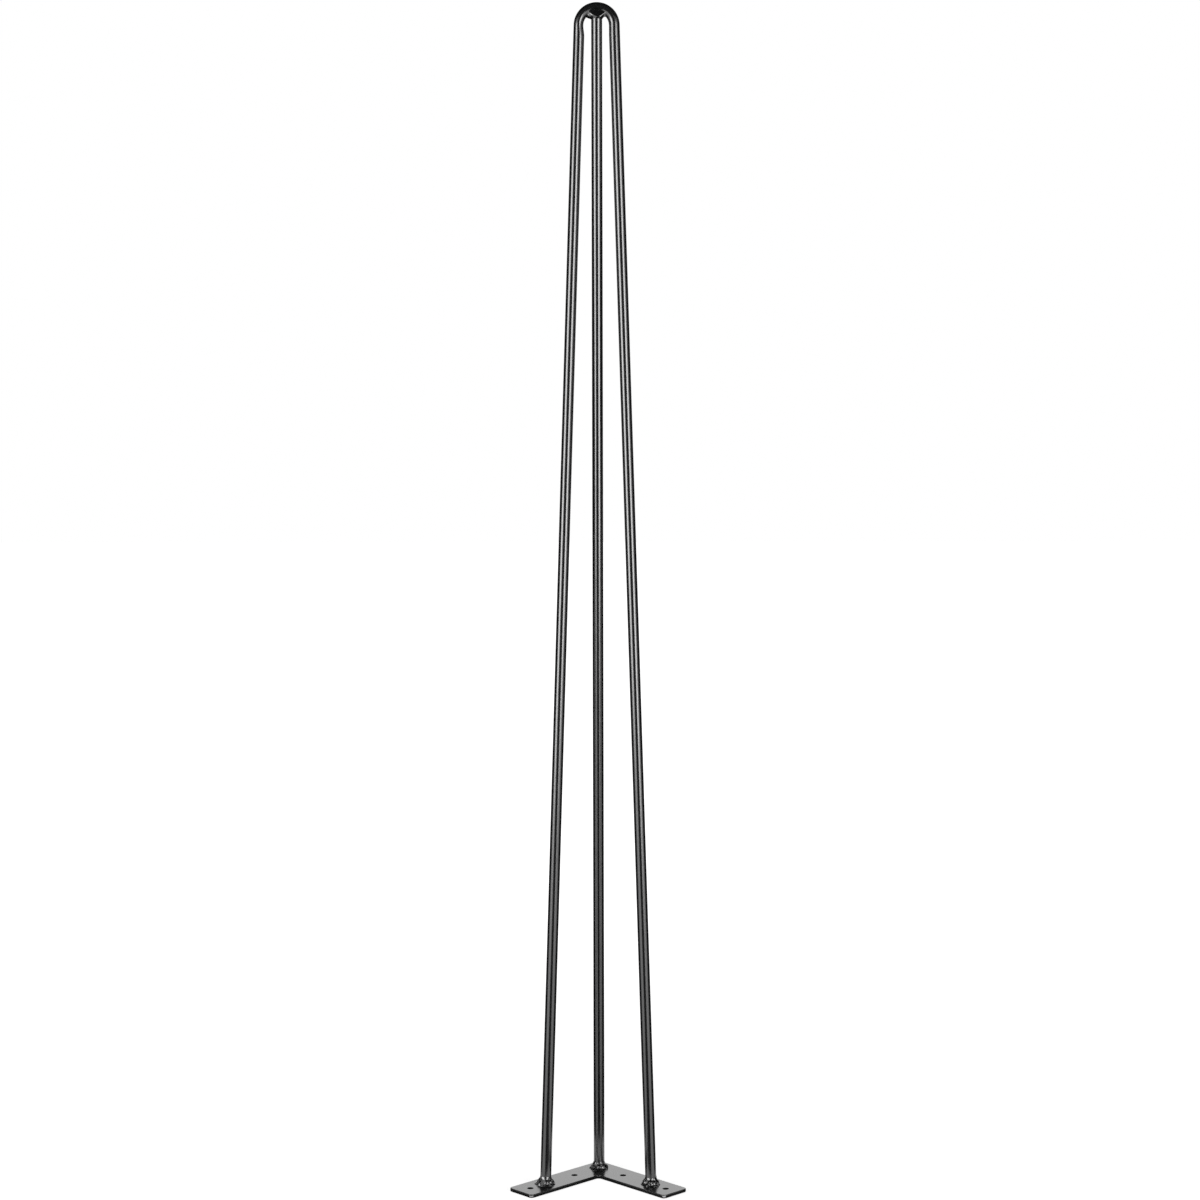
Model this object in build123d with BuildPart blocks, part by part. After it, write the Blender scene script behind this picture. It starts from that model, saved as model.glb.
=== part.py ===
from build123d import *
import os
from math import asin, atan2, cos, degrees, hypot, sin, sqrt

# Hairpin table leg, standing on its mounting plate with the foot up.
# The origin is on the plate's underside, on the axis of the centre rod. +Z runs up to the foot,
# X runs across the leg, and -Y faces the inside of the L-shaped plate. Millimetres throughout.

# Overall height and bar stock
leg_height = 1016.0
rod_diameter = 9.5

# Mounting plate, with reaches measured along each arm from the axis of the centre rod
plate_thickness = 3.0
arm_width = 29.0
inner_hole_reach = 30.0
side_rod_reach = 64.3
side_rod_to_outer_hole = 17.7
outer_hole_to_arm_end = 12.0
screw_hole_diameter = 5.4
outer_corner_radius = 3.5
inner_corner_radius = 3.0
edge_chamfer = 0.4

# Foot bend, on the rod's centreline, and how far the centre rod is notched over it
bend_radius = 15.0
notch_depth = 1.6

# Weld beads at the plate: a domed ring, broken by ripples that slope from the plate up to the rod
bead_spread = 4.6
bead_rise = 7.0
ripple_count = 12
ripple_radius = 3.0
ripple_lift = 0.4

# Weld at the foot: a collar that flares from the centre rod onto the bend, faired in front and behind.
# Drops and rises are measured from the underside of the bend, the rest outwards from the rod.
collar_drop = 5.2
collar_waist_drop = 3.2
collar_shoulder_drop = 1.0
collar_rise = 3.8
collar_toe = 0.2
collar_waist = 1.0
collar_shoulder = 3.2
collar_cover = 0.8

# Places that follow from the sizes above
rod_radius = rod_diameter / 2
half_width = arm_width / 2
outer_hole_reach = side_rod_reach + side_rod_to_outer_hole
arm_length = half_width + outer_hole_reach + outer_hole_to_arm_end
side_rod_offset = side_rod_reach / sqrt(2)
plate_top = Plane.XY.offset(plate_thickness)
bend_underside = leg_height - rod_diameter


# Mounting plate: two arms at right angles, drawn along the right arm and turned into place
right_arm_plane = Plane(origin=(0, 0, 0), x_dir=(1, -1, 0), z_dir=(0, 0, 1))

with BuildPart(right_arm_plane) as mounting_plate:
    with BuildSketch(right_arm_plane) as plate_outline:
        with Locations((-half_width, 0)):
            Rectangle(arm_length, arm_width, align=(Align.MIN, Align.CENTER))
        with Locations((0, half_width)):
            Rectangle(arm_width, arm_length, align=(Align.CENTER, Align.MAX))
        inner_corner = (half_width, -half_width)
        fillet(plate_outline.vertices().sort_by_distance(inner_corner)[1:], outer_corner_radius)
        fillet(plate_outline.vertices().sort_by_distance(inner_corner)[0], inner_corner_radius)
    extrude(amount=plate_thickness)
    chamfer(mounting_plate.faces().filter_by(Axis.Z).edges(), edge_chamfer)
    with Locations(
        (inner_hole_reach, 0),
        (outer_hole_reach, 0),
        (0, -inner_hole_reach),
        (0, -outer_hole_reach),
    ):
        Hole(screw_hole_diameter / 2)


# Hairpin rod: one bar whose two straight runs lean in and back to a bend above the centre rod
apex_height = leg_height - rod_radius - plate_thickness
slant_length = hypot(side_rod_offset, apex_height)
hairpin_plane = Plane(
    origin=(0, -side_rod_offset, plate_thickness),
    x_dir=(1, 0, 0),
    z_dir=(0, -apex_height, side_rod_offset),
)

# The runs are tangents from their places on the plate to the circle of the bend
bend_centre_height = slant_length - bend_radius
run_slope = atan2(side_rod_offset, bend_centre_height)
run_slope -= asin(bend_radius / hypot(side_rod_offset, bend_centre_height))
tangent_x = bend_radius * cos(run_slope)
tangent_y = bend_centre_height + bend_radius * sin(run_slope)
run_overhang = rod_diameter
start_x = side_rod_offset + run_overhang * sin(run_slope)
start_y = -run_overhang * cos(run_slope)

with BuildPart() as hairpin_rod:
    with BuildLine(hairpin_plane) as rod_centreline:
        Line((start_x, start_y), (tangent_x, tangent_y))
        CenterArc((0, bend_centre_height), bend_radius, degrees(run_slope), 180 - 2 * degrees(run_slope))
        Line((-tangent_x, tangent_y), (-start_x, start_y))
    rod_path = rod_centreline.wire()
    with BuildSketch(Plane(origin=rod_path @ 0, z_dir=rod_path % 0)):
        Circle(rod_radius)
    sweep(path=rod_path)
    split(bisect_by=plate_top, keep=Keep.TOP)


# Centre rod: a straight bar from the corner of the plate, notched to fit under the bend
with BuildPart() as centre_rod:
    with BuildSketch(plate_top):
        Circle(rod_radius)
    extrude(amount=bend_underside + notch_depth - plate_thickness)
    add(hairpin_rod.part, mode=Mode.SUBTRACT)


# Weld beads at the plate: the dome passes through the outer and upper toes of the bead, and the crest
# of each ripple runs just above the straight line between them
bead_reach = rod_radius + bead_spread
dome_drop = (bead_reach**2 - rod_radius**2 - bead_rise**2) / (2 * bead_rise)
dome_radius = hypot(bead_reach, dome_drop)
bead_slope = atan2(bead_spread, bead_rise)
ripple_length = 2 * hypot(bead_spread, bead_rise)
ripple_depth = ripple_radius - ripple_lift
ripple_reach = rod_radius + bead_spread / 2 - ripple_depth * cos(bead_slope)
ripple_height = plate_thickness + bead_rise / 2 - ripple_depth * sin(bead_slope)


def weld_bead(place, rod):
    """Rippled fillet weld on the plate, fitted round the rod that stands at this place."""
    with BuildPart() as bead:
        with Locations((place[0], place[1], ripple_height)):
            with PolarLocations(ripple_reach, ripple_count):
                Cylinder(ripple_radius, ripple_length, rotation=(0, -degrees(bead_slope), 0))
        with Locations((place[0], place[1], plate_thickness - dome_drop)):
            Sphere(dome_radius, mode=Mode.INTERSECT)
        split(bisect_by=plate_top, keep=Keep.TOP)
        add(rod, mode=Mode.SUBTRACT)
    return bead.part


left_weld = weld_bead((-side_rod_offset, -side_rod_offset), hairpin_rod.part)
right_weld = weld_bead((side_rod_offset, -side_rod_offset), hairpin_rod.part)
corner_weld = weld_bead((0, 0), centre_rod.part)


# Foot weld: the collar is turned about the centre rod, faired in side view and cleared for both rods
collar_foot = bend_underside - collar_drop
collar_top = bend_underside + collar_rise
collar_span = 2 * (rod_radius + collar_shoulder)

with BuildPart() as foot_weld:
    with BuildSketch(Plane.XZ):
        with BuildLine():
            Polyline(
                (rod_radius + collar_toe, collar_foot),
                (rod_radius + collar_waist, bend_underside - collar_waist_drop),
                (rod_radius + collar_shoulder, bend_underside - collar_shoulder_drop),
                (rod_radius, collar_top),
                (0, collar_top),
                (0, collar_foot),
                close=True,
            )
        make_face()
    revolve(axis=Axis.Z)
    with BuildSketch(Plane.YZ.offset(-collar_span)):
        with BuildLine():
            fairing = ThreePointArc(
                (rod_radius + collar_toe, collar_foot),
                (rod_radius + collar_cover, bend_underside - collar_shoulder_drop),
                (rod_radius - collar_toe, collar_top),
            )
            Polyline(fairing @ 1, (0, collar_top), (0, collar_foot), fairing @ 0)
        make_face()
        mirror(about=Plane.YZ)
    extrude(amount=2 * collar_span, mode=Mode.INTERSECT)
    add(hairpin_rod.part, mode=Mode.SUBTRACT)
    add(centre_rod.part, mode=Mode.SUBTRACT)


pieces = {
    "mounting_plate": mounting_plate.part,
    "hairpin_rod": hairpin_rod.part,
    "centre_rod": centre_rod.part,
    "left_weld": left_weld,
    "right_weld": right_weld,
    "corner_weld": corner_weld,
    "foot_weld": foot_weld.part,
}

os.makedirs("parts", exist_ok=True)
for name, piece in pieces.items():
    piece.label = name
    export_step(piece, f"parts/{name}.step")
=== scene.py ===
import math

import bmesh
import bpy
import numpy as np
from mathutils import Euler, Matrix, Vector


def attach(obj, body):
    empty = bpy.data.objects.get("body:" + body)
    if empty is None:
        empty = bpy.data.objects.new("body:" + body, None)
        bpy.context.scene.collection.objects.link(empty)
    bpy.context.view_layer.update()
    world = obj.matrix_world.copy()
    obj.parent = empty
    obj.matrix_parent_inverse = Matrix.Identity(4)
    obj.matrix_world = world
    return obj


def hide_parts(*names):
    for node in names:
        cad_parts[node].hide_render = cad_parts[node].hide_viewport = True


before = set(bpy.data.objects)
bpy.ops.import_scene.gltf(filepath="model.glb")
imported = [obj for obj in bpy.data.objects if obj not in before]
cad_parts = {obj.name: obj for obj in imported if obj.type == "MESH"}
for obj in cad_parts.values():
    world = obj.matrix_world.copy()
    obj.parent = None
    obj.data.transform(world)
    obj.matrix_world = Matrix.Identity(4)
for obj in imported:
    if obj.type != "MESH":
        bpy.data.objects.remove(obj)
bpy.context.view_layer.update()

# Hairpin table leg: finer meshes in the place of the seven solids, three black coats, a white studio.
# The leg is written in millimetres and piece_from turns it into metres. The studio is in metres.

MM = 0.001

# Sizes of the leg, the same as in the solids
ROD_RADIUS = 4.75
PLATE_TOP = 3.0
LEG_HEIGHT = 1016.0
SIDE_ROD_REACH = 64.3
BEND_RADIUS = 15.0
ARM_WIDTH = 29.0
INNER_HOLE_REACH = 30.0
OUTER_HOLE_REACH = 82.0
ARM_END_REACH = 94.0
HOLE_RADIUS = 2.7
OUTER_CORNER_RADIUS = 3.5
INNER_CORNER_RADIUS = 3.0

# Places that follow from them
SIDE_OFFSET = SIDE_ROD_REACH / math.sqrt(2)
APEX = np.array([0.0, 0.0, LEG_HEIGHT - ROD_RADIUS])
HAIRPIN_BASE = np.array([0.0, -SIDE_OFFSET, PLATE_TOP])
BEND_UNDERSIDE = LEG_HEIGHT - 2 * ROD_RADIUS


# Mesh helpers

BAR_EDGE_ANGLE = 40.0
ROUND_EDGE_ANGLE = 60.0
BAR_SEGMENTS = 72


def piece_from(name, points, faces, smooth_angle=BAR_EDGE_ANGLE):
    """New mesh object from points in millimetres, smooth except at edges sharper than the angle."""
    mesh = bpy.data.meshes.new(name)
    mesh.from_pydata([tuple(MM * float(c) for c in p) for p in points], [], faces)
    mesh.validate()
    tidy = bmesh.new()
    tidy.from_mesh(mesh)
    bmesh.ops.recalc_face_normals(tidy, faces=tidy.faces)
    tidy.to_mesh(mesh)
    tidy.free()
    mesh.polygons.foreach_set("use_smooth", [True] * len(mesh.polygons))
    mesh.set_sharp_from_angle(angle=math.radians(smooth_angle))
    piece = bpy.data.objects.new(name, mesh)
    bpy.context.scene.collection.objects.link(piece)
    return piece


def tube(name, path, side_axis, end_heights, flatten=None, segments=BAR_SEGMENTS):
    """Round bar along a path in a plane square to side_axis, with ends cut level at given heights.

    flatten gives, per point, how far the inner side of a bend is drawn out towards the outer side."""
    path = np.array(path)
    tangents = np.gradient(path, axis=0)
    tangents[0] = path[1] - path[0]
    tangents[-1] = path[-1] - path[-2]
    tangents /= np.linalg.norm(tangents, axis=1)[:, None]
    across = np.cross(tangents, side_axis)
    across /= np.linalg.norm(across, axis=1)[:, None]
    turn = np.linspace(0, 2 * math.pi, segments, endpoint=False)
    outwards = ROD_RADIUS * np.tile(np.cos(turn), (len(path), 1))
    if flatten is not None:
        squeeze = np.asarray(flatten)[:, None]
        outwards = outwards + squeeze * (1 - np.cos(turn)[None, :]) / 2
    rings = (
        path[:, None, :]
        + outwards[:, :, None] * across[:, None, :]
        + ROD_RADIUS * np.sin(turn)[None, :, None] * np.asarray(side_axis)[None, None, :]
    )
    for end, height in zip((0, -1), end_heights):
        if height is not None:
            slide = (height - rings[end][:, 2]) / tangents[end][2]
            rings[end] += slide[:, None] * tangents[end]
    faces = []
    last = (len(path) - 1) * segments
    for here in range(0, last, segments):
        beyond = here + segments
        for j in range(segments):
            k = (j + 1) % segments
            faces.append((here + j, here + k, beyond + k, beyond + j))
    faces.append(tuple(range(segments)))
    faces.append(tuple(last + j for j in range(segments)))
    return piece_from(name, rings.reshape(-1, 3), faces)


def surface_net(field, low, step):
    """Closed quad mesh of the zero level of a sampled field that is negative inside."""
    shape = field.shape
    inside = field < 0
    cells = [n - 1 for n in shape]

    def window(array, offset):
        return array[tuple(slice(o, o + n) for o, n in zip(offset, cells))]

    # One point in each cell that the surface crosses: the mean of the crossings on its edges
    total = np.zeros(cells + [3])
    hits = np.zeros(cells)
    for start in [(a, b, c) for a in (0, 1) for b in (0, 1) for c in (0, 1)]:
        for axis in range(3):
            if start[axis]:
                continue
            stop = list(start)
            stop[axis] = 1
            near = window(field, start)
            far = window(field, stop)
            crosses = (near < 0) != (far < 0)
            share = np.where(crosses, near / np.where(crosses, near - far, 1.0), 0.0)
            for k in range(3):
                place = start[k] + (share if k == axis else 0.0)
                total[..., k] += np.where(crosses, place, 0.0)
            hits += crosses
    used = hits > 0
    index = -np.ones(cells, dtype=np.int64)
    index[used] = np.arange(used.sum())
    grid = np.stack(np.nonzero(used), axis=1)
    points = low + step * (grid + total[used] / hits[used][:, None])

    # One face round each grid edge that the surface crosses, through the four cells beside it
    faces = []
    for axis in range(3):
        other = [k for k in range(3) if k != axis]
        lower = [slice(1, n - 1) for n in shape]
        lower[axis] = slice(0, shape[axis] - 1)
        upper = list(lower)
        upper[axis] = slice(1, shape[axis])
        crosses = inside[tuple(lower)] != inside[tuple(upper)]
        base = np.stack(np.nonzero(crosses), axis=1)
        base[:, other] += 1
        ring = []
        for da, db in ((-1, -1), (0, -1), (0, 0), (-1, 0)):
            cell = base.copy()
            cell[:, other[0]] += da
            cell[:, other[1]] += db
            ring.append(index[cell[:, 0], cell[:, 1], cell[:, 2]])
        faces.append(np.stack(ring, axis=1))
    faces = np.concatenate(faces)
    return points, [tuple(int(v) for v in face) for face in faces]


def smooth_min(a, b, reach):
    """Lower of two fields, rounded where they are within reach of each other."""
    blend = np.clip(0.5 + 0.5 * (b - a) / reach, 0.0, 1.0)
    return b + (a - b) * blend - reach * blend * (1 - blend)


def smooth_max(a, b, reach):
    """Higher of two fields, rounded in the same way."""
    return -smooth_min(-a, -b, reach)


def sample_grid(low, high, step):
    """Coordinates of the points of a grid between two corners."""
    axes = [np.arange(start, stop + step, step) for start, stop in zip(low, high)]
    return np.meshgrid(*axes, indexing="ij")


# Rods: the hairpin is one bar swept up one run, round the bend and down the other. The inner side of
# its bend is pressed flatter, most on the left, and the runs have more points near it.

RUN_SHARES = [*np.linspace(0, 0.97, 41), *np.linspace(0.974, 1, 14)]
BEND_STEPS = 65
BEND_FLATTEN = 0.62
FLATTEN_TO_LEFT = 0.03
FLATTEN_DROP = 8.0
FLATTEN_LENGTH = 7.0
CENTRE_STEPS = 61
CENTRE_GAP = 0.5

up_slope = APEX - HAIRPIN_BASE
slant_length = float(np.linalg.norm(up_slope))
up_slope = up_slope / slant_length
across_leg = np.array([1.0, 0.0, 0.0])
hairpin_normal = np.cross(across_leg, up_slope)
bend_centre_height = slant_length - BEND_RADIUS
run_slope = math.atan2(SIDE_OFFSET, bend_centre_height)
run_slope -= math.asin(BEND_RADIUS / math.hypot(SIDE_OFFSET, bend_centre_height))


def on_hairpin(x, y):
    """Place in the leaning plane of the hairpin: x across the leg, y up the slope from the plate."""
    return HAIRPIN_BASE + x * across_leg + y * up_slope


def on_bend(angle):
    return BEND_RADIUS * math.cos(angle), bend_centre_height + BEND_RADIUS * math.sin(angle)


tangent_point = on_bend(run_slope)
run_points = [
    (SIDE_OFFSET + (tangent_point[0] - SIDE_OFFSET) * t, tangent_point[1] * t) for t in RUN_SHARES
]
bend_points = [on_bend(a) for a in np.linspace(run_slope, math.pi - run_slope, BEND_STEPS)[1:-1]]
hairpin_outline = run_points + bend_points + [(-x, y) for x, y in reversed(run_points)]
bend_flatten = [
    (BEND_FLATTEN - FLATTEN_TO_LEFT * x)
    * max(0.0, min(1.0, (y - bend_centre_height + FLATTEN_DROP) / FLATTEN_LENGTH))
    for x, y in hairpin_outline
]
hairpin = tube(
    "hairpin_bar",
    [on_hairpin(x, y) for x, y in hairpin_outline],
    hairpin_normal,
    (PLATE_TOP, PLATE_TOP),
    bend_flatten,
)

centre_heights = np.linspace(PLATE_TOP, BEND_UNDERSIDE - CENTRE_GAP, CENTRE_STEPS)
centre_bar = tube(
    "centre_bar",
    [(0.0, 0.0, z) for z in centre_heights],
    np.array([0.0, 1.0, 0.0]),
    (None, None),
)


# Mounting plate: rounded outline and holes, extruded with rounded edges. It is drawn with its arms
# along x and -y, and turned by an eighth into place.

EDGE_ROUND = 0.55
EDGE_STEPS = 4
CORNER_STEPS = 10
HOLE_POINTS = 48
HOLE_EDGE_SHARE = 0.25
HOLE_MARGIN = 0.01
MERGE_DISTANCE = 1e-4
FLAT_LIMIT = 0.001
EIGHTH_TURN = math.sqrt(0.5)

half_arm = ARM_WIDTH / 2
plate_corners = [
    (-half_arm, half_arm, OUTER_CORNER_RADIUS),
    (ARM_END_REACH, half_arm, OUTER_CORNER_RADIUS),
    (ARM_END_REACH, -half_arm, OUTER_CORNER_RADIUS),
    (half_arm, -half_arm, INNER_CORNER_RADIUS),
    (half_arm, -ARM_END_REACH, OUTER_CORNER_RADIUS),
    (-half_arm, -ARM_END_REACH, OUTER_CORNER_RADIUS),
]
hole_places = [
    (INNER_HOLE_REACH, 0.0),
    (OUTER_HOLE_REACH, 0.0),
    (0.0, -INNER_HOLE_REACH),
    (0.0, -OUTER_HOLE_REACH),
]


def rounded(corners):
    """Outline with each (x, y, radius) corner of a polygon rounded off."""
    points = []
    count = len(corners)
    for i in range(count):
        here = Vector(corners[i][:2])
        before = (Vector(corners[i - 1][:2]) - here).normalized()
        after = (Vector(corners[(i + 1) % count][:2]) - here).normalized()
        radius = corners[i][2]
        half = before.angle(after) / 2
        back = radius / math.tan(half)
        centre = here + (before + after).normalized() * (radius / math.sin(half))
        start = here + before * back - centre
        stop = here + after * back - centre
        sweep = start.angle_signed(stop)
        for k in range(CORNER_STEPS + 1):
            turned = start.copy()
            turned.rotate(Matrix.Rotation(-sweep * k / CORNER_STEPS, 2))
            points.append(centre + turned)
    return points


def hole_outline(x, y):
    turn = np.linspace(0, 2 * math.pi, HOLE_POINTS, endpoint=False)
    return [Vector((x + HOLE_RADIUS * math.cos(a), y + HOLE_RADIUS * math.sin(a))) for a in turn]


def bevelled_sheet(name, outlines):
    """Mesh of the sheet inside the outlines, at half height on z = 0, with all edges rounded."""
    curve = bpy.data.curves.new(name, "CURVE")
    curve.dimensions = "2D"
    curve.fill_mode = "BOTH"
    curve.extrude = PLATE_TOP / 2 - EDGE_ROUND
    curve.bevel_depth = EDGE_ROUND
    curve.bevel_resolution = EDGE_STEPS
    curve.offset = -EDGE_ROUND
    for outline in outlines:
        spline = curve.splines.new("POLY")
        spline.points.add(len(outline) - 1)
        for point, place in zip(spline.points, outline):
            point.co = (place.x, place.y, 0.0, 1.0)
        spline.use_cyclic_u = True
    holder = bpy.data.objects.new(name, curve)
    bpy.context.scene.collection.objects.link(holder)
    bpy.context.view_layer.update()
    evaluated = holder.evaluated_get(bpy.context.evaluated_depsgraph_get())
    mesh = bpy.data.meshes.new_from_object(evaluated)
    bpy.data.objects.remove(holder)
    bpy.data.curves.remove(curve)
    return mesh


def plate_piece(name):
    """The plate, with a smaller rounding at its holes and flat shading on its two flat sides."""
    outlines = [rounded(plate_corners)] + [hole_outline(x, y) for x, y in hole_places]
    mesh = bevelled_sheet(name + "_outline", outlines)
    points = []
    for vertex in mesh.vertices:
        x, y, z = vertex.co
        for hole_x, hole_y in hole_places:
            reach = math.hypot(x - hole_x, y - hole_y)
            if reach < HOLE_RADIUS + EDGE_ROUND + HOLE_MARGIN:
                drawn_in = (HOLE_RADIUS + (reach - HOLE_RADIUS) * HOLE_EDGE_SHARE) / reach
                x = hole_x + (x - hole_x) * drawn_in
                y = hole_y + (y - hole_y) * drawn_in
                z = math.copysign(PLATE_TOP / 2 - (PLATE_TOP / 2 - abs(z)) * HOLE_EDGE_SHARE, z)
        points.append((EIGHTH_TURN * (x + y), EIGHTH_TURN * (y - x), z + PLATE_TOP / 2))
    faces = [tuple(polygon.vertices) for polygon in mesh.polygons]
    bpy.data.meshes.remove(mesh)
    joined = bmesh.new()
    made = [joined.verts.new(p) for p in points]
    for face in faces:
        joined.faces.new([made[v] for v in face])
    bmesh.ops.remove_doubles(joined, verts=joined.verts, dist=MERGE_DISTANCE)
    joined.verts.index_update()
    points = [tuple(v.co) for v in joined.verts]
    faces = [tuple(v.index for v in f.verts) for f in joined.faces]
    joined.free()
    piece = piece_from(name, points, faces, ROUND_EDGE_ANGLE)
    normals = []
    for vertex in piece.data.vertices:
        height = vertex.co.z / MM
        if height > PLATE_TOP - FLAT_LIMIT:
            normals.append((0.0, 0.0, 1.0))
        elif height < FLAT_LIMIT:
            normals.append((0.0, 0.0, -1.0))
        else:
            normals.append(tuple(vertex.normal))
    piece.data.normals_split_custom_set_from_vertices(normals)
    return piece


plate = plate_piece("screw_plate")


# Welds at the plate: a flared and scalloped bead, with large and small lumps laid round each rod

WELD_STEP = 0.25
NOISE_CELLS = 16
ANY_ANGLE = (0, 6.28)

BEAD_LOW = np.array([-11.5, -11.5, -0.8])
BEAD_HIGH = np.array([11.5, 11.5, 9.0])
BEAD_RISE = 6.9
RISE_WAVES = (0.5, 0.3)
BEAD_SPREAD = 3.8
SPREAD_WAVES = (0.35, 0.3)
BEAD_COVER = 0.05
FLARE_POWER = 2.0
FLARE_SLOPE = 0.75
CREST_SLOPE = 0.9
SCALLOP_COUNT = 6.5
SCALLOP_TWIST = 0.5
SCALLOP_DEPTH = 0.28
LUMPS = 7
LUMP_JITTER = (-0.3, 0.3)
LUMP_REACH = (0.3, 1.3)
LUMP_SIZE = (1.5, 2.2)
LUMP_HEIGHT = (0.9, 3.0)
LUMP_BLEND = 0.9
DROPS = 6
DROP_HEIGHT = (0.0, 4.2)
DROP_SPREAD = 3.2
DROP_COVER = 0.1
DROP_SIZE = (0.6, 1.0)
DROP_BLEND = 0.5
BEAD_NOISE = 0.16
BEAD_NOISE_CELL = 1.7
BEAD_IN_ROD = 0.6
BEAD_IN_PLATE = 0.3


def lattice_noise(x, y, z, cell, draw):
    """Smooth noise from -1 to 1 with lumps about one cell across."""
    table = draw.uniform(-1, 1, (NOISE_CELLS, NOISE_CELLS, NOISE_CELLS))
    out = np.zeros_like(x)
    low = []
    part = []
    for along in (x, y, z):
        scaled = along / cell
        whole = np.floor(scaled).astype(int)
        rest = scaled - whole
        low.append(whole)
        part.append(rest * rest * (3 - 2 * rest))
    for corner in [(a, b, c) for a in (0, 1) for b in (0, 1) for c in (0, 1)]:
        weight = np.ones_like(x)
        for on, share in zip(corner, part):
            weight = weight * (share if on else 1 - share)
        out += weight * table[tuple((start + on) % NOISE_CELLS for start, on in zip(low, corner))]
    return out


def plate_weld(name, x, y, lean, stretch, seed):
    """Hand-laid bead round the rod that stands on the plate at x, y and leans by lean per unit height.

    stretch is how much wider the bead is on its left side."""
    draw = np.random.default_rng(seed)
    gx, gy, gz = sample_grid(BEAD_LOW, BEAD_HIGH, WELD_STEP)
    sx = gx - lean[0] * gz
    sy = gy - lean[1] * gz
    radial = np.hypot(sx, sy)
    angle = np.arctan2(sy, sx)

    def ball(around, reach, height, size):
        away_x = sx - reach * math.cos(around)
        away_y = sy - reach * math.sin(around)
        return np.sqrt(away_x ** 2 + away_y ** 2 + (gz - height) ** 2) - size

    wander = SPREAD_WAVES[0] * np.sin(angle + draw.uniform(*ANY_ANGLE))
    wander = wander + SPREAD_WAVES[1] * np.sin(2 * angle + draw.uniform(*ANY_ANGLE))
    wander = wander + stretch * np.clip(-np.cos(angle), 0, 1) ** 3
    rise = BEAD_RISE + RISE_WAVES[0] * np.sin(angle + draw.uniform(*ANY_ANGLE))
    rise = rise + RISE_WAVES[1] * np.sin(3 * angle + draw.uniform(*ANY_ANGLE))
    up = np.clip(gz / rise, 0, 1)
    scallop = np.sin(SCALLOP_COUNT * angle + SCALLOP_TWIST * gz + draw.uniform(*ANY_ANGLE))
    flare = ROD_RADIUS + BEAD_COVER + (BEAD_SPREAD + wander) * (1 - up) ** FLARE_POWER
    flare = flare + SCALLOP_DEPTH * np.abs(scallop) * np.sin(math.pi * up)
    bead = np.maximum((radial - flare) * FLARE_SLOPE, (gz - rise) * CREST_SLOPE)
    start = draw.uniform(*ANY_ANGLE)
    for i in range(LUMPS):
        around = start + 2 * math.pi * (i + draw.uniform(*LUMP_JITTER)) / LUMPS
        reach = ROD_RADIUS + draw.uniform(*LUMP_REACH)
        size = draw.uniform(*LUMP_SIZE)
        height = draw.uniform(*LUMP_HEIGHT)
        bead = smooth_min(bead, ball(around, reach, height, size), LUMP_BLEND)
    for i in range(DROPS):
        around = draw.uniform(*ANY_ANGLE)
        height = draw.uniform(*DROP_HEIGHT)
        reach = ROD_RADIUS + (1 - height / BEAD_RISE) ** FLARE_POWER * DROP_SPREAD + DROP_COVER
        size = draw.uniform(*DROP_SIZE)
        bead = smooth_min(bead, ball(around, reach, height, size), DROP_BLEND)
    bead = bead + BEAD_NOISE * lattice_noise(gx, gy, gz, BEAD_NOISE_CELL, draw)
    bead = np.maximum(bead, ROD_RADIUS - BEAD_IN_ROD - radial)
    bead = np.maximum(bead, -BEAD_IN_PLATE - gz)
    points, faces = surface_net(bead, BEAD_LOW, WELD_STEP)
    points = points + np.array([x, y, PLATE_TOP])
    return piece_from(name, points, faces, ROUND_EDGE_ANGLE)


run_direction = on_hairpin(*tangent_point) - on_hairpin(SIDE_OFFSET, 0.0)
right_lean = (run_direction[0] / run_direction[2], run_direction[1] / run_direction[2])
left_lean = (-right_lean[0], right_lean[1])
left_bead = plate_weld("left_bead", -SIDE_OFFSET, -SIDE_OFFSET, left_lean, stretch=1.4, seed=11)
right_bead = plate_weld("right_bead", SIDE_OFFSET, -SIDE_OFFSET, right_lean, stretch=0.4, seed=23)
corner_bead = plate_weld("corner_bead", 0.0, 0.0, (0.0, 0.0), stretch=0.3, seed=37)


# Weld at the foot: the two bars run together in a smooth saddle, which carries a pad in front and
# behind. Heights are measured from the underside of the bend.

FOOT_LOW = np.array([-13.0, -8.0, -14.0])
FOOT_HIGH = np.array([13.0, 8.0, 10.0])
FOOT_SEED = 5

# The saddle stands proud of the bars inside an egg round the joint and sinks into them outside it.
# The whole weld ends at a larger egg.
EGG_SHARES = (1.15, 1.6, 0.95)
EGG_DROP = 0.6
SADDLE_BLEND = 1.8
SADDLE_PROUD = 0.2
SADDLE_KEEP = 5.0
SADDLE_SINK = 0.45
EGG_END = 9.5

# Flat faces of the pad: slopes along x, away from the middle plane and along z, and an offset
PAD_FRONT = (0.0, 0.90, 0.334, -4.038)
PAD_LEFT = (-0.42, 0.90, -0.12, -6.324)
PAD_RIGHT = (0.33, 0.90, -0.16, -6.452)
PAD_TIP = (-0.24, 0.60, -0.80, -5.92)
LEFT_UNDERSIDE = (-0.36, 0.40, -1.0, -6.74)
RIGHT_UNDERSIDE = (0.0, 0.45, -1.0, -3.1)
INNER_RIGHT_UNDERSIDE = (1.1, 0.45, -1.0, -9.92)
PAD_CREASE = 0.5
PAD_LOWER_CREASE = 0.4
PAD_CURL = 0.25
PAD_CURL_START = 6.5
PAD_HALF_WIDTH = 9.5
PAD_BLEND = 1.0

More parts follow.
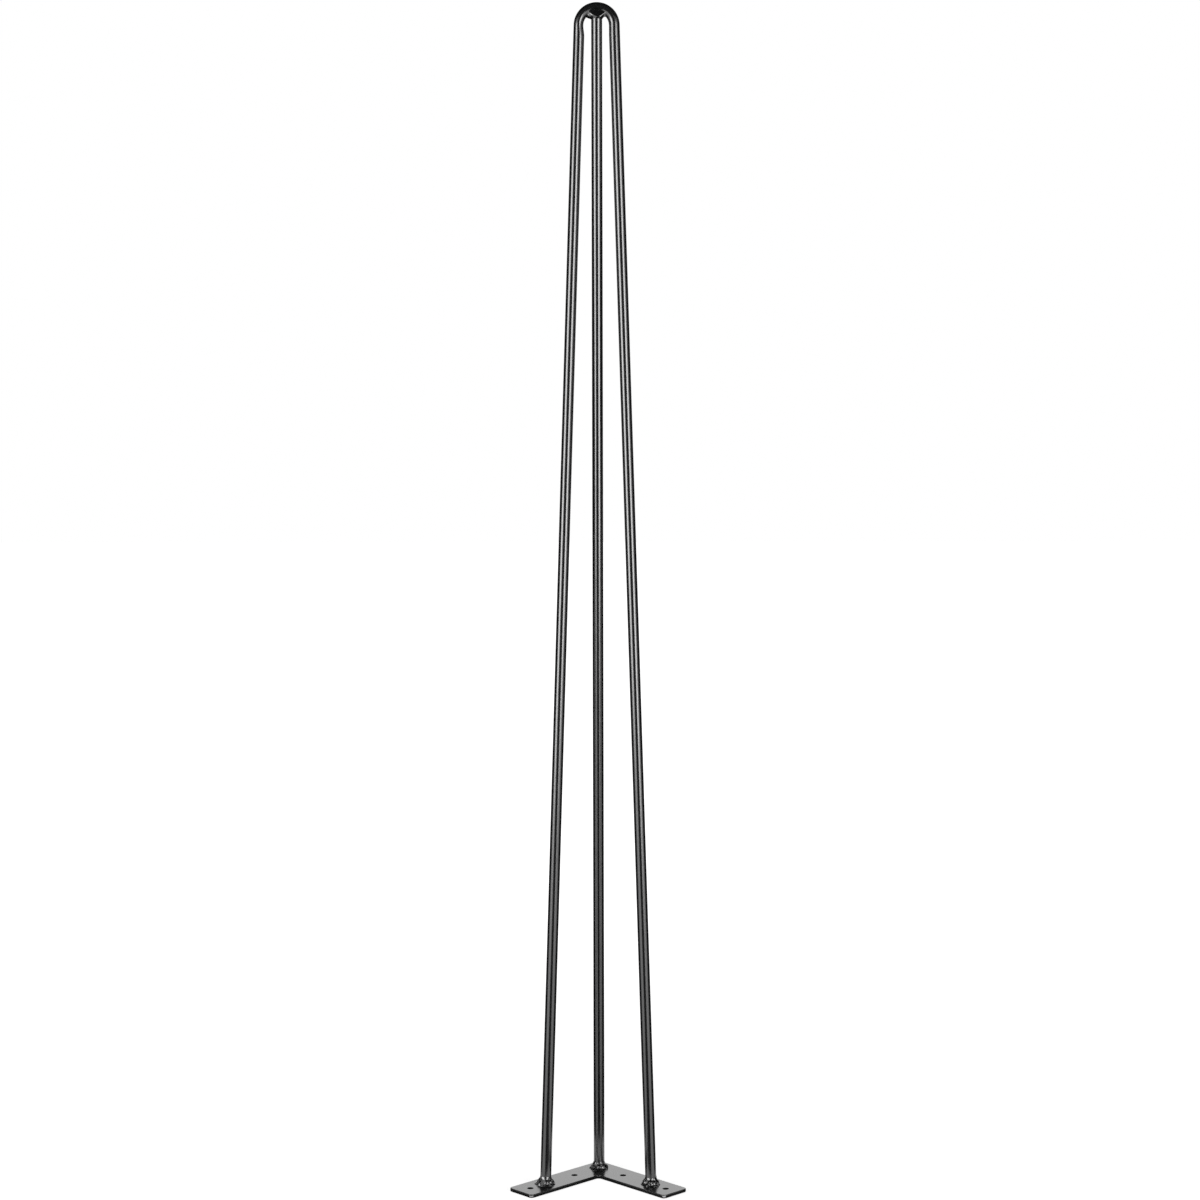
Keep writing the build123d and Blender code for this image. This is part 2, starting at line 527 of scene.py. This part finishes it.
# Grooves across the left face, counted from its crease with the front
CREASE_ACROSS = (-0.679, -0.734)
CREASE_POINT = (-2.2, -3.0)
GROOVE_START = 0.7
GROOVE_PITCH = 1.9
GROOVE_WIDTH = 0.3
GROOVE_DEPTH = 0.28
GROOVE_END = 8.0
GROOVE_FADE = 1.5

FOOT_NOISE = 0.06
FOOT_NOISE_CELL = 2.2
FOOT_IN_RODS = 0.9


def foot_weld(name):
    """Weld that joins the end of the centre rod to the inside of the bend."""
    draw = np.random.default_rng(FOOT_SEED)
    gx, gy, gz = sample_grid(FOOT_LOW, FOOT_HIGH, WELD_STEP)
    out = np.abs(gy)

    def flat(face):
        return face[0] * gx + face[1] * out + face[2] * gz + face[3]

    def curl(reach):
        return PAD_CURL * np.clip(reach - PAD_CURL_START, 0.0, None) ** 2

    bend_centre = on_hairpin(0.0, bend_centre_height) - np.array([0.0, 0.0, BEND_UNDERSIDE])
    local = np.stack([gx, gy, gz], axis=-1) - bend_centre
    from_bend_axis = np.hypot(local @ across_leg, local @ up_slope) - BEND_RADIUS
    bend = np.hypot(from_bend_axis, local @ hairpin_normal) - ROD_RADIUS
    rod = np.maximum(np.hypot(gx, gy) - ROD_RADIUS, gz + CENTRE_GAP)
    away = np.sqrt(
        (gx / EGG_SHARES[0]) ** 2 + (gy / EGG_SHARES[1]) ** 2 + ((gz + EGG_DROP) / EGG_SHARES[2]) ** 2
    )
    saddle = smooth_min(bend, rod, SADDLE_BLEND) - SADDLE_PROUD
    saddle = saddle + SADDLE_SINK * np.clip(away - SADDLE_KEEP, 0.0, None)

    from_crease = CREASE_ACROSS[0] * (gx - CREASE_POINT[0]) + CREASE_ACROSS[1] * (gz - CREASE_POINT[1])
    from_start = np.clip(from_crease - GROOVE_START, 0.0, None)
    from_groove = np.mod(from_start, GROOVE_PITCH) - GROOVE_PITCH / 2
    groove = GROOVE_DEPTH * np.exp(-0.5 * (from_groove / GROOVE_WIDTH) ** 2)
    groove = groove * np.clip((gx + GROOVE_END) / GROOVE_FADE, 0.0, 1.0)
    left_face = flat(PAD_LEFT) + groove + curl(-gx)
    right_face = flat(PAD_RIGHT) + curl(gx)
    right_underside = np.minimum(flat(RIGHT_UNDERSIDE), flat(INNER_RIGHT_UNDERSIDE))
    underside = np.where(gx < 0, flat(LEFT_UNDERSIDE), right_underside)
    pad = smooth_max(left_face, right_face, PAD_CREASE)
    pad = smooth_max(pad, flat(PAD_FRONT), PAD_CREASE)
    pad = smooth_max(pad, np.maximum(flat(PAD_TIP), underside), PAD_LOWER_CREASE)
    pad = np.maximum(pad, np.abs(gx) - PAD_HALF_WIDTH)

    weld = smooth_min(saddle, pad, PAD_BLEND)
    weld = weld + FOOT_NOISE * lattice_noise(gx, gy, gz, FOOT_NOISE_CELL, draw)
    weld = np.maximum(weld, -(np.minimum(bend, rod) + FOOT_IN_RODS))
    weld = np.maximum(weld, away - EGG_END)
    points, faces = surface_net(weld, FOOT_LOW, WELD_STEP)
    points = points + np.array([0.0, 0.0, BEND_UNDERSIDE])
    return piece_from(name, points, faces, ROUND_EDGE_ANGLE)


foot_bead = foot_weld("foot_bead")


# Materials: black powder coat with a fine orange peel, satin on bars and plate, glossier on the welds,
# and two light grey spots painted on the plate's front corners as highlights

COAT_IOR = 1.55
COAT_SPECULAR = 1.0
PEEL_DETAIL = 2.0
GRAIN_FINENESS = 4.5
GRAIN_DETAIL = 3.0
CLOUD_SCALE = 55.0
CLOUD_DETAIL = 4.0
GRAIN_RANGE = (0.3, 0.7)
# Painted highlights: light grey spots on the coat stand in for glints, with a ragged edge between these
# distances
GLINT_EDGE = (1.40, 1.55)
GLINT_GREY = (0.55, 0.55, 0.55, 1.0)


def add_node(tree, kind, values=None, **settings):
    """New node with its settings, then the values of its input sockets."""
    node = tree.nodes.new(kind)
    for key, value in settings.items():
        setattr(node, key, value)
    for socket, value in (values or {}).items():
        node.inputs[socket].default_value = value
    return node


def map_range(tree, source, before, after, **settings):
    """Output socket of a node that maps a value from one range onto another."""
    values = {"From Min": before[0], "From Max": before[1], "To Min": after[0], "To Max": after[1]}
    node = add_node(tree, "ShaderNodeMapRange", values, **settings)
    tree.links.new(source, node.inputs["Value"])
    return node.outputs["Result"]


def combine(tree, operation, first, second):
    """Output socket of a Math node on two sockets."""
    node = add_node(tree, "ShaderNodeMath", operation=operation)
    tree.links.new(first, node.inputs[0])
    tree.links.new(second, node.inputs[1])
    return node.outputs["Value"]


def noise(tree, place, scale, detail):
    """Output socket of a noise texture."""
    node = add_node(tree, "ShaderNodeTexNoise", {"Scale": scale, "Detail": detail})
    tree.links.new(place, node.inputs["Vector"])
    return node.outputs["Fac"]


def spot_distance(tree, place, centre, size):
    """Output socket with the distance from a spot's centre, as a share of its size."""
    offset = add_node(tree, "ShaderNodeVectorMath", {1: [MM * c for c in centre]}, operation="SUBTRACT")
    tree.links.new(place, offset.inputs[0])
    share = add_node(tree, "ShaderNodeVectorMath", {1: [MM * c for c in size]}, operation="DIVIDE")
    tree.links.new(offset.outputs["Vector"], share.inputs[0])
    length = add_node(tree, "ShaderNodeVectorMath", operation="LENGTH")
    tree.links.new(share.outputs["Vector"], length.inputs[0])
    return length.outputs["Value"]


def powder_coat(
    name, dark, light, roughness, peel_size, peel_depth, grain_depth, along=1.0, painted_glint_spots=()
):
    """Black coat, clouded from dark to light, with bumps of peel_size mm and a finer grain on them.

    along below 1 stretches the bumps along z. A glint spot is the centre and size of a patch that is
    painted light grey as a highlight, in millimetres."""
    material = bpy.data.materials.new(name)
    material.use_nodes = True
    tree = material.node_tree
    links = tree.links
    shader = tree.nodes["Principled BSDF"]
    shader.inputs["Specular IOR Level"].default_value = COAT_SPECULAR
    shader.inputs["IOR"].default_value = COAT_IOR
    where = add_node(tree, "ShaderNodeTexCoord").outputs["Object"]
    mapping = add_node(tree, "ShaderNodeMapping", {"Scale": (1.0, 1.0, along)})
    links.new(where, mapping.inputs["Vector"])
    place = mapping.outputs["Vector"]
    peel = noise(tree, place, 1.0 / (peel_size * MM), PEEL_DETAIL)
    grain = noise(tree, place, GRAIN_FINENESS / (peel_size * MM), GRAIN_DETAIL)
    cloud = noise(tree, place, CLOUD_SCALE, CLOUD_DETAIL)

    shades = {"A": (*dark, 1.0), "B": (*light, 1.0)}
    tone = add_node(tree, "ShaderNodeMix", shades, data_type="RGBA")
    links.new(cloud, tone.inputs["Factor"])
    coat = tone.outputs["Result"]
    # Each glint spot is a painted highlight: the coat turns light grey inside a ragged spot
    for centre, size in painted_glint_spots:
        ragged = combine(tree, "ADD", spot_distance(tree, where, centre, size), grain)
        glinted = add_node(tree, "ShaderNodeMix", {"B": GLINT_GREY}, data_type="RGBA")
        links.new(map_range(tree, ragged, GLINT_EDGE, (1.0, 0.0)), glinted.inputs["Factor"])
        links.new(coat, glinted.inputs["A"])
        coat = glinted.outputs["Result"]
    links.new(coat, shader.inputs["Base Color"])
    links.new(map_range(tree, grain, GRAIN_RANGE, roughness), shader.inputs["Roughness"])

    orange = add_node(tree, "ShaderNodeBump", {"Strength": 1.0, "Distance": peel_depth * MM})
    links.new(peel, orange.inputs["Height"])
    fine = add_node(tree, "ShaderNodeBump", {"Strength": 1.0, "Distance": grain_depth * MM})
    links.new(grain, fine.inputs["Height"])
    links.new(orange.outputs["Normal"], fine.inputs["Normal"])
    links.new(fine.outputs["Normal"], shader.inputs["Normal"])
    return material


rod_coat = powder_coat(
    "rod_coat_satin",
    dark=(0.008, 0.008, 0.0083),
    light=(0.013, 0.013, 0.0134),
    roughness=(0.15, 0.21),
    peel_size=2.6,
    peel_depth=0.010,
    grain_depth=0.0010,
    along=0.3,
)
plate_coat = powder_coat(
    "plate_coat_satin",
    dark=(0.010, 0.010, 0.0103),
    light=(0.016, 0.016, 0.0165),
    roughness=(0.15, 0.25),
    peel_size=1.6,
    peel_depth=0.03,
    grain_depth=0.012,
    # Painted highlights at the plate's two front corners, in the place of glints
    painted_glint_spots=(
        ((-56.4, -75.3, 1.4), (1.9, 1.5, 0.5)),
        ((56.6, -75.3, 1.7), (1.7, 1.5, 0.8)),
    ),
)
weld_coat = powder_coat(
    "weld_coat_gloss",
    dark=(0.006, 0.006, 0.0062),
    light=(0.010, 0.010, 0.0104),
    roughness=(0.10, 0.18),
    peel_size=2.0,
    peel_depth=0.03,
    grain_depth=0.003,
)

for piece, node, slot, material in (
    (plate, "mounting_plate", "plate_coat", plate_coat),
    (hairpin, "hairpin_rod", "rod_coat", rod_coat),
    (centre_bar, "centre_rod", "rod_coat", rod_coat),
    (left_bead, "left_weld", "weld_coat", weld_coat),
    (right_bead, "right_weld", "weld_coat", weld_coat),
    (corner_bead, "corner_weld", "weld_coat", weld_coat),
    (foot_bead, "foot_weld", "weld_coat", weld_coat),
):
    piece.data.materials.append(material)
    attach(piece, "root")
    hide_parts(node)


# Floor: wide and pale. The lamps light it, so that it keeps the leg's shadow, and it glows for rays
# that see or mirror it, less near the leg.

FLOOR_REACH = 14.0
FLOOR_LEVEL = -0.0002
FLOOR_COLOUR = (0.8, 0.8, 0.8, 1.0)
FLOOR_ROUGHNESS = 0.9
GLOW_DISTANCES = (0.15, 1.2)
GLOW_STRENGTHS = (0.77, 1.0)
TOOTH_SCALE = 900.0
TOOTH_DEPTH = 0.00005
WHITE = (1.0, 1.0, 1.0, 1.0)


def seen_or_mirrored(tree):
    """Output socket that is 1 for camera, transmission and glossy rays, and 0 for the light itself."""
    rays = add_node(tree, "ShaderNodeLightPath").outputs
    seen = combine(tree, "MAXIMUM", rays["Is Camera Ray"], rays["Is Transmission Ray"])
    return combine(tree, "MAXIMUM", seen, rays["Is Glossy Ray"])


def floor_piece():
    mesh = bpy.data.meshes.new("floor")
    corners = [(FLOOR_REACH * x, FLOOR_REACH * y, 0) for x, y in ((-1, -1), (1, -1), (1, 1), (-1, 1))]
    mesh.from_pydata(corners, [], [(0, 1, 2, 3)])
    floor = bpy.data.objects.new("floor", mesh)
    bpy.context.scene.collection.objects.link(floor)
    floor.location.z = FLOOR_LEVEL
    material = bpy.data.materials.new("floor_paper")
    material.use_nodes = True
    tree = material.node_tree
    links = tree.links
    shader = tree.nodes["Principled BSDF"]
    shader.inputs["Base Color"].default_value = FLOOR_COLOUR
    shader.inputs["Roughness"].default_value = FLOOR_ROUGHNESS
    shader.inputs["Specular IOR Level"].default_value = 0.0
    shader.inputs["Emission Color"].default_value = WHITE
    place = add_node(tree, "ShaderNodeTexCoord").outputs["Object"]
    reach = add_node(tree, "ShaderNodeVectorMath", operation="LENGTH")
    links.new(place, reach.inputs[0])
    glow = map_range(
        tree, reach.outputs["Value"], GLOW_DISTANCES, GLOW_STRENGTHS, interpolation_type="SMOOTHSTEP"
    )
    shown = combine(tree, "MULTIPLY", glow, seen_or_mirrored(tree))
    links.new(shown, shader.inputs["Emission Strength"])
    tooth = add_node(tree, "ShaderNodeTexNoise", {"Scale": TOOTH_SCALE})
    links.new(place, tooth.inputs["Vector"])
    bump = add_node(tree, "ShaderNodeBump", {"Distance": TOOTH_DEPTH})
    links.new(tooth.outputs["Fac"], bump.inputs["Height"])
    links.new(bump.outputs["Normal"], shader.inputs["Normal"])
    mesh.materials.append(material)


floor_piece()


# World: white where it is seen or mirrored, dimmer as fill

FILL_STRENGTH = 0.2
SEEN_STRENGTH = 1.0

world = bpy.data.worlds.new("studio")
bpy.context.scene.world = world
world.use_nodes = True
sky = world.node_tree
backdrop = sky.nodes["Background"]
backdrop.inputs["Color"].default_value = WHITE
strength = add_node(sky, "ShaderNodeMix", {"A": FILL_STRENGTH, "B": SEEN_STRENGTH})
sky.links.new(seen_or_mirrored(sky), strength.inputs["Factor"])
sky.links.new(strength.outputs["Result"], backdrop.inputs["Strength"])


# Black cards: only reflections see them, and they draw the dark edges and centre lines of the bars.
# Far cards serve the lower part of the leg and near ones the upper part, so that the plate mirrors
# white.

CARD_BLACK = (0.004, 0.004, 0.004, 1.0)
CARD_LEVEL = -0.0001
FAR_SIDE = 5.0
FAR_FRONT, FAR_FRONT_TOP = -1.5, 1.95
FAR_BACK, FAR_BACK_TOP = 9.5, 2.95
NEAR_SIDE = 0.5
NEAR_FRONT, NEAR_BACK = -0.15, 0.95
NEAR_BOTTOM = 0.3
NEAR_TOP = 1.5
SIDE_FLOOR_X = 0.10
SIDE_FLOOR_FRONT, SIDE_FLOOR_BACK = -0.05, 0.5
CAMERA_CARD_Y = -5.0
CAMERA_CARD_HALF = 1.98
CAMERA_CARD_TOP = 1.95
FRONT_CARD_Y = -0.9
FRONT_CARD_HALF = 0.36
FRONT_CARD_BOTTOM = 0.54
TOP_CARD_HALF = 0.8
TOP_CARD_BACK = 1.2
FRONT_FLOOR_HALF = 0.06
FRONT_FLOOR_Y = -0.10
PLATE_CARD_MARGIN = 12.0

card_coat = bpy.data.materials.new("card_black")
card_coat.use_nodes = True
card_shader = card_coat.node_tree.nodes["Principled BSDF"]
card_shader.inputs["Base Color"].default_value = CARD_BLACK
card_shader.inputs["Specular IOR Level"].default_value = 0.0
card_shader.inputs["Roughness"].default_value = 1.0


def card(name, corners):
    """Flat black card that only glossy rays meet."""
    mesh = bpy.data.meshes.new(name)
    mesh.from_pydata(corners, [], [tuple(range(len(corners)))])
    mesh.materials.append(card_coat)
    piece = bpy.data.objects.new(name, mesh)
    bpy.context.scene.collection.objects.link(piece)
    piece.visible_camera = False
    piece.visible_diffuse = False
    piece.visible_shadow = False
    piece.visible_transmission = False


def front_card(name, y, half, bottom, top):
    """Upright card square to the camera's view."""
    card(name, [(-half, y, bottom), (half, y, bottom), (half, y, top), (-half, y, top)])


for side, word in ((-1, "left"), (1, "right")):
    far = FAR_SIDE * side
    near = NEAR_SIDE * side
    inner = SIDE_FLOOR_X * side
    card(
        f"{word}_card",
        [
            (far, FAR_FRONT, 0.0),
            (far, FAR_BACK, 0.0),
            (far, FAR_BACK, FAR_BACK_TOP),
            (far, FAR_FRONT, FAR_FRONT_TOP),
        ],
    )
    card(
        f"{word}_upper_card",
        [
            (near, NEAR_FRONT, NEAR_BOTTOM),
            (near, NEAR_BACK, NEAR_BOTTOM),
            (near, NEAR_BACK, NEAR_TOP),
            (near, NEAR_FRONT, NEAR_TOP),
        ],
    )
    card(
        f"{word}_floor_card",
        [
            (inner, SIDE_FLOOR_FRONT, CARD_LEVEL),
            (far, FAR_FRONT, CARD_LEVEL),
            (far, FAR_BACK, CARD_LEVEL),
            (inner, SIDE_FLOOR_BACK, CARD_LEVEL),
        ],
    )
front_card("camera_card", CAMERA_CARD_Y, CAMERA_CARD_HALF, 0.0, CAMERA_CARD_TOP)
front_card("front_upper_card", FRONT_CARD_Y, FRONT_CARD_HALF, FRONT_CARD_BOTTOM, NEAR_TOP)
card(
    "top_card",
    [
        (-TOP_CARD_HALF, FRONT_CARD_Y, NEAR_TOP),
        (TOP_CARD_HALF, FRONT_CARD_Y, NEAR_TOP),
        (TOP_CARD_HALF, TOP_CARD_BACK, NEAR_TOP),
        (-TOP_CARD_HALF, TOP_CARD_BACK, NEAR_TOP),
    ],
)
card(
    "front_floor_card",
    [
        (-FRONT_FLOOR_HALF, FRONT_FLOOR_Y, CARD_LEVEL),
        (FRONT_FLOOR_HALF, FRONT_FLOOR_Y, CARD_LEVEL),
        (CAMERA_CARD_HALF, CAMERA_CARD_Y, CARD_LEVEL),
        (-CAMERA_CARD_HALF, CAMERA_CARD_Y, CARD_LEVEL),
    ],
)
inner_reach = half_arm + PLATE_CARD_MARGIN
end_reach = ARM_END_REACH + PLATE_CARD_MARGIN
card(
    "plate_floor_card",
    [
        (MM * EIGHTH_TURN * (x + y), MM * EIGHTH_TURN * (y - x), CARD_LEVEL)
        for x, y in (
            (-inner_reach, inner_reach),
            (end_reach, inner_reach),
            (end_reach, -inner_reach),
            (inner_reach, -inner_reach),
            (inner_reach, -end_reach),
            (-inner_reach, -end_reach),
        )
    ],
)


# Lamps: a wide softbox far off at each side of the camera, and a weak one behind the leg. Each row is
# name, azimuth, distance, height of the middle, width, height and radiance.

LAMPS = (
    ("left_softbox", -49.0, 8.0, 1.67, 4.00, 3.30, 6.5),
    ("right_softbox", 38.0, 8.0, 1.67, 3.70, 3.30, 6.8),
    ("back_softbox", 180.0, 2.4, 0.95, 1.80, 1.20, 0.4),
)


def softbox(name, azimuth, distance, centre_height, width, height, radiance):
    """Rectangular lamp that faces the leg's axis; azimuth in degrees, 0 at the camera's side."""
    lamp = bpy.data.lights.new(name, "AREA")
    lamp.shape = "RECTANGLE"
    lamp.size = width
    lamp.size_y = height
    lamp.energy = radiance * math.pi * width * height
    holder = bpy.data.objects.new(name, lamp)
    bpy.context.scene.collection.objects.link(holder)
    turn = math.radians(azimuth)
    holder.location = (distance * math.sin(turn), -distance * math.cos(turn), centre_height)
    aim = Vector((0.0, 0.0, centre_height)) - holder.location
    holder.rotation_euler = aim.to_track_quat("-Z", "Y").to_euler()
    holder.visible_camera = False


for lamp in LAMPS:
    softbox(*lamp)


# Camera, fitted to the photograph

PHOTO_SIZE = 1200
SENSOR_WIDTH = 36.0
FOCAL_PIXELS = 2338.3
SHIFT_PIXELS = 2.6
CLIP_START = 0.05
CAMERA_DISTANCE = 2.0
CAMERA_HEIGHT = 0.6349
AIM_Y = -0.025
YAW, PITCH, ROLL = 1.02, -3.684, -0.126

camera_data = bpy.data.cameras.new("camera")
camera_data.sensor_width = SENSOR_WIDTH
camera_data.lens = FOCAL_PIXELS / PHOTO_SIZE * SENSOR_WIDTH
camera_data.shift_x = SHIFT_PIXELS / PHOTO_SIZE
camera_data.clip_start = CLIP_START
camera = bpy.data.objects.new("camera", camera_data)
bpy.context.scene.collection.objects.link(camera)
yaw = math.radians(YAW)
camera.location = (
    CAMERA_DISTANCE * math.sin(yaw),
    AIM_Y - CAMERA_DISTANCE * math.cos(yaw),
    CAMERA_HEIGHT,
)
level = Euler((math.radians(90.0 + PITCH), 0.0, yaw)).to_matrix()
camera.rotation_euler = (level @ Matrix.Rotation(math.radians(ROLL), 3, "Z")).to_euler()
bpy.context.scene.camera = camera

bpy.context.scene.view_settings.view_transform = "Standard"
